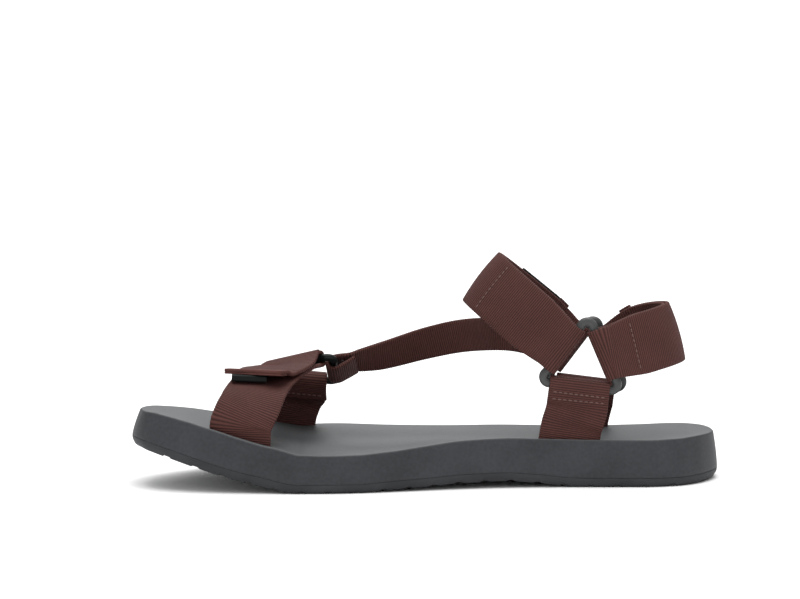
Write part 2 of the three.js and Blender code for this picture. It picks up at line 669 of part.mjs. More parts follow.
// The hollow pull bar sewn under the flap's end
function pullBar() {
  const rounded = (target, width, height, radius) => {
    const [x, y] = [width / 2, height / 2];
    target.moveTo(-x + radius, -y);
    target.lineTo(x - radius, -y);
    target.absarc(x - radius, -y + radius, radius, -Math.PI / 2, 0);
    target.absarc(x - radius, y - radius, radius, 0, Math.PI / 2);
    target.absarc(-x + radius, y - radius, radius, Math.PI / 2, Math.PI);
    target.absarc(-x + radius, -y + radius, radius, Math.PI, Math.PI * 1.5);
    return target;
  };
  const outline = rounded(new THREE.Shape(), PULL_DEPTH, PULL_HEIGHT, PULL_ROUND);
  const bore = [PULL_DEPTH - 2 * PULL_WALL, PULL_HEIGHT - 2 * PULL_WALL];
  outline.holes.push(rounded(new THREE.Path(), ...bore, PULL_ROUND * 0.45));
  const bar = new THREE.ExtrudeGeometry(outline, {
    depth: PULL_LENGTH,
    bevelEnabled: false,
    steps: 1,
    curveSegments: 4,
  });
  bar.deleteAttribute("normal");
  bar.deleteAttribute("uv");
  const merged = mergeVertices(bar, 1e-3);
  merged.translate(0, 0, -PULL_LENGTH / 2);
  const along = place(0.998, 0.04, -0.045).normalize();
  const depthwise = squareTo(place(0.02, 1, -0.02), along);
  const basis = new THREE.Matrix4().makeBasis(depthwise, along.clone().cross(depthwise), along);
  const centre = spot({ along: -0.3004, aside: -0.2339, up: 0.8755 });
  merged.applyMatrix4(basis.setPosition(centre));
  return merged;
}

// The link strap's free run, as shares of the named sizes, from the toe ring to the instep strap
const LINK_RUN = [
  { along: -0.0787, aside: 0.2682, up: 0.9381, across: place(-0.16, -0.5, 0.85) },
  { along: 0.0, aside: 0.3133, up: 1.0338, across: place(-0.18, -0.2, 0.96) },
  { along: 0.0591, aside: 0.2897, up: 1.0994, across: place(-0.1, 0.02, 0.99) },
];
// Its end inside the instep strap. back: distance from the ring as a share of the strap's reach.
// up, depth: shares of the strap's width, along it and inwards from it.
const LINK_END = [
  { back: 0.714, up: -0.55, depth: 0.23, across: place(-0.1, 0.02, 0.99) },
  { back: 0.546, up: -0.4, depth: 0.18, across: place(-0.29, 0, 0.93) },
  { back: 0.336, up: -0.25, depth: 0.125, across: place(-0.29, 0, 0.93) },
];

// Along the outer side of the foot, from the toe ring to the instep strap
function linkStrap(course) {
  const length = course.path.getLength();
  const inside = LAYER + WEB_THICKNESS + GAP;
  const out = place(0.948, 0.2, 0.245);
  const outer = place(0, 0.65, 0.75);
  const onBand = ({ back, up, depth }) =>
    bandPoint(course, 1 - (back * INSTEP_REACH) / length, up * WEB_WIDTH, -inside - depth * WEB_WIDTH);
  const end = LINK_END.map((row) => stop(onBand(row), row.across, LINK_WIDTH));
  const run = LINK_RUN.map((row) => stop(spot(row), row.across, LINK_WIDTH));
  const runIn = [LINK_WIDTH * 0.48, LINK_WIDTH * 0.24];
  const fold = sewnFold(LINK_BAR, out, outer, LINK_WIDTH, LINK_WIDTH * 0.96, runIn);
  return [...end.reverse(), ...run.reverse(), ...fold];
}

const instepCourse = bandCourse(
  INSTEP_COURSE,
  barBetween(MEDIAL.front, MEDIAL.top),
  barBetween(LATERAL.front, LATERAL.top),
  INSTEP_REACH,
  INSTEP_RISE,
  INSTEP_LIFT,
);
const heelCourse = bandCourse(
  HEEL_COURSE,
  barBetween(MEDIAL.rear, MEDIAL.top),
  barBetween(LATERAL.rear, LATERAL.top),
  HEEL_REACH,
  HEEL_RISE,
  HEEL_LIFT,
);

const medialAnchor = anchor(
  ENTRIES.ankleMedial,
  barBetween(MEDIAL.front, MEDIAL.rear),
  place(0, -1, 0),
  ANCHOR_FOLD,
  WEB_THICKNESS * 0.3,
);
const lateralAnchor = anchor(
  ENTRIES.ankleLateral,
  barBetween(LATERAL.front, LATERAL.rear),
  place(0, 1, 0),
  ANCHOR_FOLD,
  WEB_THICKNESS * 0.3,
);
const toeAnchor = anchor(ENTRIES.toeLateral, SIDE_BAR, place(0, 0.85, 0.5), FOLD_WIDTH, WEB_THICKNESS);
const toe = toeStrap();

const SLOT_STOPS = 4;
const slots = [toe, toeAnchor, medialAnchor, lateralAnchor].map((stops) =>
  toSolid(ribbon(stops.slice(0, SLOT_STOPS), GAP)),
);

addPart("outsole", toGeometry(makeOutsole()), rubber);
addPart("midsole", toGeometry(makeMidsole(slots)), foam);
addPart("toe_strap", ribbon(toe), webbing);
addPart("toe_anchor_lateral", ribbon(toeAnchor), webbing);
addPart("toe_ring", ringThrough(Object.values(TOE_CORNERS), RING_CORNER), blackPlastic);
addPart("pull_bar", pullBar(), blackPlastic);
addPart("link_strap", ribbon(linkStrap(instepCourse)), webbing);
addPart("ankle_anchor_medial", ribbon(medialAnchor), webbing);
addPart("ankle_anchor_lateral", ribbon(lateralAnchor), webbing);
addPart("ankle_ring_medial", ringThrough(Object.values(MEDIAL), RING_CORNER), greyPlastic);
addPart("ankle_ring_lateral", ringThrough(Object.values(LATERAL), RING_CORNER), greyPlastic);
addPart("instep_strap", ribbon(band(instepCourse)), webbing);
addPart("heel_strap", ribbon(band(heelCourse)), webbing);

export default group;
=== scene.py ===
"""A strap sandal for the right foot: ribbed webbing, plastic rings and a foam sole."""

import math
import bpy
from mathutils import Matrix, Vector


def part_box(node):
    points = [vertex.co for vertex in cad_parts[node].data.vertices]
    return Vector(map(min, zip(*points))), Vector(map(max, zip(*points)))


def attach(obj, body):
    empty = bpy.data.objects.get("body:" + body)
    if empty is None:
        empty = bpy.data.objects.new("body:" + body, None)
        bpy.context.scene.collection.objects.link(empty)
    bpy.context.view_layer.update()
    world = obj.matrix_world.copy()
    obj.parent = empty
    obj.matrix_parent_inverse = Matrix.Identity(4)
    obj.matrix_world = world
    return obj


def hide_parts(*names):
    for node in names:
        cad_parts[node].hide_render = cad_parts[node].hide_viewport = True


bl_info = {
    "name": "Strap Sandal",
    "version": (1, 0, 0),
    "blender": (4, 5, 0),
    "location": "View3D > Sidebar > Sandal",
    "description": "Makes the surfaces, materials, stitching and stage of a strap sandal",
    "category": "Object",
}

import bmesh
import bpy
import numpy as np
from mathutils import Vector

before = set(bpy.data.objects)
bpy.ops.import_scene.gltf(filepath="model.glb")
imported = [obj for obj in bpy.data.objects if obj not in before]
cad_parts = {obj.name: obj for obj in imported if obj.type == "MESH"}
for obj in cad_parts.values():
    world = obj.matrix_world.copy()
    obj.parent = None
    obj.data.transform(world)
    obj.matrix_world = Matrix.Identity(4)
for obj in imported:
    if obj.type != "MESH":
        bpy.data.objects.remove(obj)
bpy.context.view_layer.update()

MM = 0.001
SOLE_LOW, SOLE_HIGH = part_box("outsole")
STRAPS = (
    "toe_strap",
    "toe_anchor_lateral",
    "link_strap",
    "ankle_anchor_medial",
    "ankle_anchor_lateral",
    "instep_strap",
    "heel_strap",
)

# The sole from toe to heel: share of length, edges as shares of ball width, rise of the underside as
# shares of toe spring and arch rise, wall heights as shares of heel height, and share of cup depth.
SOLE_COLUMNS = ("at", "inner", "outer", "spring", "arch", "inner_wall", "outer_wall", "cup")
SOLE_SECTIONS = np.array(
    [
        (0.0, -0.169, -0.169, 1.0, 0, 0.73, 0.73, 0),
        (0.015, -0.31, -0.02, 0.964, 0, 0.76, 0.72, 0.1),
        (0.033, -0.366, 0.053, 0.907, 0, 0.79, 0.72, 0.2),
        (0.067, -0.42, 0.157, 0.784, 0, 0.82, 0.73, 0.3),
        (0.111, -0.456, 0.262, 0.598, 0, 0.835, 0.75, 0.4),
        (0.167, -0.48, 0.358, 0.361, 0, 0.84, 0.81, 0.5),
        (0.222, -0.49, 0.424, 0.175, 0, 0.825, 0.825, 0.5),
        (0.285, -0.5, 0.474, 0, 0, 0.82, 0.86, 0.4),
        (0.333, -0.496, 0.493, 0, 0, 0.8, 0.865, 0.4),
        (0.385, -0.479, 0.5, 0, 0, 0.81, 0.85, 0.4),
        (0.437, -0.447, 0.497, 0, 0.29, 0.815, 0.79, 0.5),
        (0.5, -0.4, 0.486, 0, 0.55, 0.866, 0.75, 0.6),
        (0.563, -0.357, 0.468, 0, 0.87, 0.907, 0.718, 0.7),
        (0.63, -0.325, 0.444, 0, 1, 0.917, 0.727, 0.8),
        (0.689, -0.309, 0.424, 0, 0.65, 0.944, 0.782, 0.9),
        (0.741, -0.303, 0.412, 0, 0.16, 0.995, 0.852, 1),
        (0.785, -0.302, 0.406, 0, 0, 1.005, 0.875, 1),
        (0.874, -0.3, 0.388, 0, 0, 1.0, 0.917, 1),
        (0.926, -0.265, 0.355, 0, 0, 1.01, 0.963, 0.8),
        (0.963, -0.192, 0.284, 0, 0.1, 1.01, 0.986, 0.5),
        (0.985, -0.106, 0.2, 0, 0.2, 0.99, 0.99, 0.2),
        (1.0, 0.047, 0.047, 0, 0.26, 0.97, 0.97, 0),
    ]
)

# The rings' middles and the toe ring's corners, as shares of the length, ball width and ring height
ANKLE_RINGS = {"ankle_ring_medial": (0.2646, -0.236, 1), "ankle_ring_lateral": (0.2815, 0.295, 0.891)}
TOE_RING_CORNERS = [(-0.2992, 0.2468, 0.7974), (-0.1614, 0.1073, 0.9756), (-0.1535, 0.3112, 0.718)]


def distance(name, description, default):
    """A length in metres that a user may change."""
    return bpy.props.FloatProperty(name=name, description=description, default=default, unit="LENGTH")


def colour(name, description, default):
    """A colour that a user may change, as linear shares of red, green and blue."""
    return bpy.props.FloatVectorProperty(
        name=name, description=description, default=default, size=3, min=0, max=1, subtype="COLOR"
    )


class SandalSole(bpy.types.PropertyGroup):
    """Sizes of the sole."""

    length: distance("Length", "Outsole from toe to heel", SOLE_HIGH.x - SOLE_LOW.x)
    ball_width: distance("Ball width", "Widest part of the sole", 93.2 * MM)
    heel_height: distance("Heel height", "Footbed rim above the floor at the heel", 20.3 * MM)
    toe_spring: distance("Toe spring", "Rise of the underside at the toe", 18.2 * MM)
    arch_rise: distance("Arch rise", "Rise of the underside at the arch", 2.9 * MM)
    cup_depth: distance("Cup depth", "Hollow of the footbed at the heel", 2.2 * MM)
    rim_round: distance("Rim rounding", "Radius of the footbed's rim", 1.0 * MM)
    wall_flare: distance("Wall flare", "How far the side wall leans in", 1.7 * MM)
    outsole: distance("Outsole", "Thickness of the rubber layer", 3.6 * MM)
    bevel: distance("Outsole bevel", "Inset of the tread from the side", 1.7 * MM)
    groove_depth: distance("Groove depth", "Depth of the tread grooves", 1.3 * MM)
    groove_width: distance("Groove width", "Width of the tread grooves", 2.6 * MM)
    gap: distance("Layer gap", "Gap between outsole and midsole", 0.3 * MM)


class SandalStraps(bpy.types.PropertyGroup):
    """Sizes of the webbing, its stitches and the rings."""

    thickness: distance("Thickness", "Thickness of the webbing", 1.6 * MM)
    rib_pitch: distance("Rib pitch", "Distance between the woven ribs", 0.94 * MM)
    rib_height: distance("Rib height", "Height of the ribs", 0.05 * MM)
    stitch_pitch: distance("Stitch pitch", "Distance from stitch to stitch", 2.3 * MM)
    stitch_length: distance("Stitch length", "Length of one stitch", 1.8 * MM)
    thread: distance("Thread", "Radius of the sewing thread", 0.3 * MM)
    bar_radius: distance("Bar radius", "Radius of the rings' bars", 1.6 * MM)
    ring_height: distance("Ring height", "Middle of the inner ankle ring", 53.3 * MM)
    hem: distance("Hem", "Length of the hem under the flap's end", 8 * MM)
    hem_thickness: distance("Hem thickness", "Thickness of the hem", 0.62 * MM)
    tab: distance("Tab", "Length of the folded tab at a strap's free end", 5 * MM)
    tab_spread: distance("Tab spread", "How much wider than the strap its tab is", 2.2 * MM)
    tape_length: distance("Tape length", "Length of the hook tape", 24 * MM)
    tape_thickness: distance("Tape thickness", "Thickness of the hook tape", 0.2 * MM)
    crown: distance("Crown", "Bulge of the webbing across its width", 0.9 * MM)
    ring_side: distance("Ring side", "Side of the ankle rings", 35.6 * MM)
    ring_corner: distance("Ring corner", "Radius of the rings' corners", 2.6 * MM)
    ring_tilt: bpy.props.FloatProperty(
        name="Ring tilt", description="Turn of the ankle rings", default=math.radians(-7), subtype="ANGLE"
    )


class SandalColours(bpy.types.PropertyGroup):
    """Colours of the finishes."""

    # The webbing's dark colour between the ribs is painted shade in the grooves, and also the low end of its
    # random tone
    webbing: colour("Webbing", "Raised ribs of the webbing", (0.094, 0.0345, 0.0285))
    webbing_deep: colour("Webbing grooves", "Between the ribs", (0.024, 0.0085, 0.007))
    sheen: colour("Webbing sheen", "Sheen of the fibres", (0.55, 0.42, 0.48))
    thread: colour("Thread", "Sewing thread", (0.13, 0.062, 0.052))
    tape: colour("Tape", "Hook tape inside the closures", (0.03, 0.031, 0.032))
    # The footbed and the midsole's side are the same foam: the footbed's lighter colour is painted top
    # light, the side's darker colour painted shade
    footbed: colour("Footbed", "Top of the footbed", (0.08, 0.0845, 0.0875))
    foam: colour("Foam", "Side of the midsole", (0.031, 0.0325, 0.0365))
    rubber: colour("Rubber", "Outsole", (0.028, 0.0295, 0.0325))
    ring_grey: colour("Ring grey", "Ankle rings", (0.048, 0.05, 0.049))
    ring_black: colour("Ring black", "Toe ring and pull bar", (0.005, 0.006, 0.006))
    floor: colour("Floor", "Floor of the stage", (0.9, 0.9, 0.9))


class SandalStage(bpy.types.PropertyGroup):
    """Camera and light."""

    camera: bpy.props.FloatVectorProperty(
        name="Camera", description="Place of the camera",
        default=(-0.01135, -2.2271, 0.3532), size=3, unit="LENGTH"
    )
    pitch: bpy.props.FloatProperty(
        name="Pitch", description="Tilt below the horizon", default=math.radians(7.041), subtype="ANGLE"
    )
    lens: bpy.props.FloatProperty(
        name="Lens", description="Focal length in millimetres", default=232.74, subtype="DISTANCE_CAMERA"
    )
    overhead: bpy.props.FloatProperty(
        name="Overhead", description="Power of the light above, in watts", default=60
    )
    sky: bpy.props.FloatProperty(name="Sky", description="Strength of the surrounding light", default=0.8)


# Mesh helpers


def unit(vectors):
    """Each vector divided by its length."""
    return vectors / np.linalg.norm(vectors, axis=-1, keepdims=True)


def mesh_object(name, points, faces, material, uv=None):
    """A smooth mesh from points and faces; uv holds a pair for each corner of each face, in face order."""
    mesh = bpy.data.meshes.new(name)
    mesh.from_pydata(points.tolist(), [], faces)
    mesh.polygons.foreach_set("use_smooth", np.ones(len(mesh.polygons), bool))
    if uv is not None:
        layer = mesh.uv_layers.new(name="run")
        layer.data.foreach_set("uv", uv.astype(np.float32).ravel())
    mesh.update()
    mesh.materials.append(material)
    piece = bpy.data.objects.new(name, mesh)
    bpy.context.scene.collection.objects.link(piece)
    return piece


def dress(piece, slot, *nodes):
    """Fixes a piece to the sandal in place of the nodes named; the slot is not used."""
    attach(piece, "root")
    if nodes:
        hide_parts(*nodes)


def loop_faces(rows, columns):
    """Quads of a grid whose rows close on themselves, with row after row of point numbers."""
    i, j = np.meshgrid(np.arange(rows - 1), np.arange(columns), indexing="ij")
    following = (j + 1) % columns
    here, beyond = i * columns, (i + 1) * columns
    quads = np.stack([here + j, here + following, beyond + following, beyond + j], -1)
    return quads.reshape(-1, 4).tolist()


def cubic(t, span, start, end, slope, end_slope):
    """The cubic from start to end that has a slope given at each, at the share t of the span."""
    return (
        (2 * t**3 - 3 * t**2 + 1) * start
        + (3 * t**2 - 2 * t**3) * end
        + (t**3 - 2 * t**2 + t) * span * slope
        + (t**3 - t**2) * span * end_slope
    )


def outward_faces(mesh):
    """Turns every face of a closed mesh outwards."""
    shape = bmesh.new()
    shape.from_mesh(mesh)
    bmesh.ops.recalc_face_normals(shape, faces=shape.faces)
    shape.to_mesh(mesh)
    shape.free()


def apply_modifiers(piece):
    """Bakes the modifiers into the mesh and drops them."""
    graph = bpy.context.evaluated_depsgraph_get()
    graph.update()
    baked = bpy.data.meshes.new_from_object(piece.evaluated_get(graph), depsgraph=graph)
    old = piece.data
    piece.modifiers.clear()
    piece.data = baked
    bpy.data.meshes.remove(old)


# The sole

# Turns in radians, divisions, shares and distances that the sole's surfaces use
TURN_STEP = 0.02
LEAN_FROM = 0.1
OUTSOLE_STATIONS, OUTSOLE_COLUMNS = 420, 84
MIDSOLE_STATIONS, MIDSOLE_COLUMNS = 300, 60
# The last of these counts is the rim bands painted with the footbed's lighter colour as a painted highlight
WALL_FROM, WALL_LEVELS, RIM_LEVELS, RIM_PALE = 0.02, 14, 6, 2
FOOT_INSET = 0.15 * MM
FLARE_POWER = 1.5
GAP_FILLED = 0.85
TREAD_FROM, TREAD_TO, TREAD_COUNT, TREAD_REST = 0.06, 0.965, 21, 0.35
TREAD_WAVE, TREAD_PEAKS, TREAD_REACH = 3.2 * MM, 9, 0.6
GROOVE_SOFT = 0.25 * MM
EDGE_DEPTH, EDGE_RUN = 0.4, 5 * MM
SLOT_REACH, SLOT_SWELL = 14.5 * MM, 0.12 * MM


def column(name, turn):
    """A column of the sole's table at each turn: a cubic whose slope at a row is the harmonic mean
    of the slopes beside it, or nought where they differ in sign."""
    xs = np.arccos(1 - 2 * SOLE_SECTIONS[:, 0])
    ys = SOLE_SECTIONS[:, SOLE_COLUMNS.index(name)]
    slope = np.diff(ys) / np.diff(xs)
    before, after = slope[:-1], slope[1:]
    same = before * after > 0
    middle = np.where(same, 2 * before * after / np.where(same, before + after, 1), 0)
    tangent = np.concatenate([slope[:1], middle, slope[-1:]])
    k = np.clip(np.searchsorted(xs, turn, side="right") - 1, 0, len(xs) - 2)
    span = xs[k + 1] - xs[k]
    t = np.clip((turn - xs[k]) / span, 0, 1)
    return cubic(t, span, ys[k], ys[k + 1], tangent[k], tangent[k + 1])


class Sole:
    """The sole's shape by the turn, nought at the toe and pi at the heel, and the side, 1 for outer."""

    def __init__(self, sizes):
        self.sizes = sizes

    def outline(self, turn, side):
        """The outline's point: along from the turn's cosine, across from the table."""
        across = np.where(side > 0, column("outer", turn), column("inner", turn))
        return np.stack([-np.cos(turn) * self.sizes.length / 2, across * self.sizes.ball_width], -1)

    def outward(self, turn, side):
        """The outline's direction turned a quarter outwards."""
        ahead = self.outline(np.minimum(turn + TURN_STEP, np.pi), side)
        along = ahead - self.outline(np.maximum(turn - TURN_STEP, 0), side)
        normal = np.stack([along[..., 1], -along[..., 0]], -1) * np.where(side > 0, -1, 1)[..., None]
        tip = np.where(turn <= 0, -1.0, np.where(turn >= np.pi, 1.0, 0.0))
        ends = np.stack([tip, np.zeros_like(tip)], -1)
        return unit(np.where((tip != 0)[..., None], ends, normal))

    def underside(self, turn):
        """The height of the tread: the toe spring's share and the arch's added up."""
        return column("spring", turn) * self.sizes.toe_spring + column("arch", turn) * self.sizes.arch_rise

    def lean(self, turn):
        """The fall of the toe spring for each metre back, which the wall leans by to stand square to it."""
        start = np.maximum(turn - TURN_STEP, LEAN_FROM)
        end = np.minimum(start + 2 * TURN_STEP, np.pi)
        fall = (column("spring", start) - column("spring", end)) * self.sizes.toe_spring
        return fall / ((np.cos(start) - np.cos(end)) / 2 * self.sizes.length)

    def wall(self, turn, side):
        """The rim's height above the underside: the table's share of the heel height."""
        share = np.where(side > 0, column("outer_wall", turn), column("inner_wall", turn))
        return share * self.sizes.heel_height

    def point(self, turn, side, inset, height):
        """A point on the side: the outline moved in by the inset and up by the height."""
        place = self.outline(turn, side) - self.outward(turn, side) * np.asarray(inset)[..., None]
        x = place[..., 0] + self.lean(turn) * (height - self.sizes.outsole)
        return np.stack([x, place[..., 1], self.underside(turn) + height], -1)

    def footbed(self, turn, share):
        """Rim heights joined in a straight line, less a sine hollow."""
        inner, outer = self.wall(turn, np.zeros_like(turn)), self.wall(turn, np.ones_like(turn))
        hollow = column("cup", turn) * self.sizes.cup_depth * np.sin(np.pi * share)
        return self.underside(turn) + inner + (outer - inner) * share - hollow


def sole_slab(levels, fill_columns, below, above, stations):
    """Joins levels of an outline into a closed wall, then fills its underside and top with sheets.

    levels: rows of points round the outline, inner edge from toe to heel and outer edge back.
    below and above give each sheet's heights from the turn, the share across and the sheet's points.
    """
    turns = np.linspace(0, np.pi, stations + 1)
    ring = len(levels[0])
    points = [np.concatenate(levels)]
    faces = loop_faces(len(levels), ring)
    start = ring * len(levels)
    for level, heights, faces_up in ((0, below, False), (len(levels) - 1, above, True)):
        base = level * ring
        inner = np.arange(stations + 1) + base
        outer = np.concatenate([[base], base + ring - np.arange(1, stations), [base + stations]])
        loop = levels[level]
        share = np.linspace(0, 1, fill_columns + 1)[1:-1]
        low, high = loop[inner[1:-1] - base], loop[outer[1:-1] - base]
        sheet = low[:, None] + (high - low)[:, None] * share[None, :, None]
        turn_grid = np.repeat(turns[1:-1, None], len(share), 1)
        sheet[..., 2] = heights(turn_grid, np.broadcast_to(share, turn_grid.shape), sheet)
        points.append(sheet.reshape(-1, 3))
        numbers = np.empty((stations + 1, fill_columns + 1), int)
        numbers[:, 0], numbers[:, -1] = inner, outer
        numbers[1:-1, 1:-1] = np.arange(sheet[..., 0].size).reshape(sheet.shape[:2]) + start
        numbers[0], numbers[-1] = inner[0], inner[-1]
        start += sheet[..., 0].size
        quads = np.stack([numbers[:-1, :-1], numbers[1:, :-1], numbers[1:, 1:], numbers[:-1, 1:]], -1)
        quads = quads if faces_up else quads[..., ::-1]
        faces += quads[1:-1].reshape(-1, 4).tolist()
        for row in (quads[0], quads[-1]):
            faces += [list(dict.fromkeys(face)) for face in row.tolist()]
    return np.concatenate(points), faces


def ring_of(stations):
    """Turns and sides round the outline, each tip once."""
    turns = np.linspace(0, np.pi, stations + 1)
    turn = np.concatenate([turns, turns[1:-1][::-1]])
    side = np.concatenate([np.zeros(stations + 1), np.ones(stations - 1)])
    return turn, side


def groove(sizes, x, y):
    """Depth of the tread: a smooth step down where the point lies within half a groove of a zigzag line."""
    pitch = (TREAD_TO - TREAD_FROM) * sizes.length / (TREAD_COUNT - 1)
    half_wave = 2 * TREAD_REACH * sizes.ball_width / (TREAD_PEAKS - 1)
    phase = (y + TREAD_REACH * sizes.ball_width) / half_wave
    zigzag = (np.abs(np.mod(phase, 2) - 1) * 2 - 1) * -TREAD_WAVE / 2
    first = (TREAD_FROM - 0.5) * sizes.length
    offset = np.mod(x - zigzag - first + pitch / 2, pitch) - pitch / 2
    edge = np.clip((sizes.groove_width / 2 - np.abs(offset)) / GROOVE_SOFT + 0.5, 0, 1)
    inside = (x > first - pitch / 2) & (x < -first + pitch * TREAD_REST)
    return sizes.groove_depth * edge * edge * (3 - 2 * edge) * inside


class SANDAL_OT_outsole(bpy.types.Operator):
    """Makes the grooved rubber outsole."""

    bl_idname = "sandal.outsole"
    bl_label = "Outsole"

    def execute(self, context):
        sizes = context.scene.sandal_sole
        sole = Sole(sizes)
        turn, side = ring_of(OUTSOLE_STATIONS)
        thick = sizes.outsole + sizes.gap * GAP_FILLED
        # The edge from the tread up: inset as a share of the bevel, height as a share of the thickness
        rises = [(1.0, 0.0), (0.86, 0.05), (0.62, 0.22), (0.3, 0.45)]
        rises += [(0.12, 0.62), (0.02, 0.86), (0.0, 0.98), (0.06, 1.0)]
        levels = []
        for inset, height in rises:
            level = sole.point(turn, side, np.full(turn.shape, inset * sizes.bevel), height * thick)
            level[:, 2] += groove(sizes, level[:, 0], level[:, 1]) * max(0, EDGE_DEPTH - height)
            levels.append(level)

        def below(turn, share, sheet):
            """Grooves that grow to their full depth over the first millimetres from the edge."""
            width = (column("outer", turn) - column("inner", turn)) * sizes.ball_width
            inward = np.clip(np.minimum(share, 1 - share) * width / EDGE_RUN, 0, 1)
            depth = groove(sizes, sheet[..., 0], sheet[..., 1]) * (EDGE_DEPTH + (1 - EDGE_DEPTH) * inward)
            return sole.underside(turn) + depth

        above = lambda t, share, sheet: sole.underside(t) + thick
        points, faces = sole_slab(levels, OUTSOLE_COLUMNS, below, above, OUTSOLE_STATIONS)
        dress(mesh_object("outsole_tread", points, faces, rubber_material()), "outsole", "outsole")
        return {"FINISHED"}


class SANDAL_OT_midsole(bpy.types.Operator):
    """Makes the foam footbed and midsole, cut where the straps enter."""

    bl_idname = "sandal.midsole"
    bl_label = "Midsole"

    def execute(self, context):
        sizes = context.scene.sandal_sole
        sole = Sole(sizes)
        turn, side = ring_of(MIDSOLE_STATIONS)
        ones = np.ones(turn.shape)
        foot = sizes.outsole + sizes.gap
        wall = sole.wall(turn, side)
        top = wall - sizes.rim_round
        levels = [sole.point(turn, side, ones * FOOT_INSET, ones * foot)]
        for share in np.linspace(WALL_FROM, 1, WALL_LEVELS):
            inset = sizes.wall_flare * share**FLARE_POWER
            levels.append(sole.point(turn, side, ones * inset, foot + (top - foot) * share))
        for angle in np.linspace(0, np.pi / 2, RIM_LEVELS + 1)[1:]:
            inset = sizes.wall_flare + sizes.rim_round * (1 - math.cos(angle))
            levels.append(sole.point(turn, side, ones * inset, top + sizes.rim_round * math.sin(angle)))
        below = lambda t, share, sheet: sole.underside(t) + foot
        above = lambda t, share, sheet: sole.footbed(t, share)
        points, faces = sole_slab(levels, MIDSOLE_COLUMNS, below, above, MIDSOLE_STATIONS)
        # Two copies of one foam: the side's darker colour is painted shade, the top's lighter colour painted
        # top light
        piece = mesh_object("midsole_foam", points, faces, foam_material(False))
        piece.data.materials.append(foam_material(True))
        # The footbed's lighter colour, painted top light, starts on the last bands of the rim as a painted
        # highlight along its edge
        slots = np.zeros(len(faces), int)
        slots[-MIDSOLE_STATIONS * MIDSOLE_COLUMNS :] = 1
        rim_end = (len(levels) - 1) * len(turn)
        slots[rim_end - RIM_PALE * len(turn) : rim_end] = 1
        piece.data.polygons.foreach_set("material_index", slots)
        for name in ("toe_strap", "toe_anchor_lateral", "ankle_anchor_medial", "ankle_anchor_lateral"):
            cut_slot(piece, strap_course(name))
        dress(piece, "midsole", "midsole")
        return {"FINISHED"}


def cut_slot(piece, course):
    """Cuts the foam with a plain sleeve round the strap's buried end."""
    sizes = bpy.context.scene.sandal_straps
    reach = course["run"] < SLOT_REACH
    half = sizes.thickness / 2 + SLOT_SWELL
    width = course["width"][reach] / 2 + SLOT_SWELL
    corners = []
    for a, b in ((-1, -1), (1, -1), (1, 1), (-1, 1)):
        corners.append(
            course["centre"][reach]
            + course["across"][reach] * (a * width)[:, None]
            + course["normal"][reach] * (b * half)
        )
    grid = np.stack(corners, 1)
    grid[0] -= course["along"][reach][0] * SLOT_SWELL
    rows = len(grid)
    faces = loop_faces(rows, 4) + [[3, 2, 1, 0], [4 * rows - 4, 4 * rows - 3, 4 * rows - 2, 4 * rows - 1]]
    tool = mesh_object("slot_tool", grid.reshape(-1, 3), faces, piece.data.materials[0])
    outward_faces(tool.data)
    cut = piece.modifiers.new("slot", "BOOLEAN")
    cut.operation = "DIFFERENCE"
    cut.solver = "EXACT"
    cut.object = tool
    apply_modifiers(piece)
    bpy.data.objects.remove(tool)


# The straps

# Distances, divisions and shares that the webbing uses
WELD = 0.005 * MM
STEPS_PER_RIB = 4
FACE_POINTS, EDGE_POINTS, EDGE_REACH = 13, 5, 0.45 * MM
CROWN_FROM, CROWN_RUN = 18 * MM, 20 * MM
EDGE_FROM, EDGE_RIB = 0.9, 1.5
TAB_PROUD, TAPE_SPREAD = 0.15 * MM, 0.75
COURSES = {}


def sections_of(node):
    """The strap's cross-sections in order, each as the places of its two edges.

    A strap's solid has six corners in each section and a fan at each end. Corners with other than six
    neighbours are its ends. From one end, each next section is the corners not yet met beside the last.
    """
    shape = bmesh.new()
    shape.from_mesh(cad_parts[node].data)
    bmesh.ops.remove_doubles(shape, verts=shape.verts, dist=WELD)
    shape.verts.ensure_lookup_table()
    places = np.array([corner.co for corner in shape.verts])
    edges = np.array([[edge.verts[0].index, edge.verts[1].index] for edge in shape.edges])
    shape.free()
    near = np.zeros((len(places), len(places)), bool)
    near[edges[:, 0], edges[:, 1]] = near[edges[:, 1], edges[:, 0]] = True
    ends = near.sum(1) != 6
    section = ends & (np.arange(len(places)) == np.flatnonzero(ends)[np.argmin(places[ends, 2])])
    # Four steps reach every corner of the end
    for _ in range(4):
        section = section | (near[section].any(0) & ends)
    met = np.zeros(len(places), bool)
    rows = []
    while section.any():
        met |= section
        rows.append(np.flatnonzero(section))
        section = near[section].any(0) & ~met
    pairs = []
    for row in rows:
        apart = np.linalg.norm(places[row][:, None] - places[row][None], axis=-1)
        first, second = np.unravel_index(np.argmax(apart), apart.shape)
        pair = places[row][[first, second]]
        if pairs and np.dot(pair[1] - pair[0], pairs[-1][1] - pairs[-1][0]) < 0:
            pair = pair[::-1]
        pairs.append(pair)
    return np.array(pairs)


def smooth_through(values, knots, at):
    """A cubic through the values, whose slope at each is the weighted mean of the two beside it."""
    slope = np.diff(values, axis=0) / np.diff(knots)[:, None]
    spans = np.diff(knots)[:, None]
    middle = (slope[:-1] * spans[1:] + slope[1:] * spans[:-1]) / (spans[1:] + spans[:-1])
    tangent = np.concatenate([slope[:1], middle, slope[-1:]])
    k = np.clip(np.searchsorted(knots, at, side="right") - 1, 0, len(knots) - 2)
    span = (knots[k + 1] - knots[k])[:, None]
    t = (at - knots[k])[:, None] / span
    return cubic(t, span, values[k], values[k + 1], tangent[k], tangent[k + 1])


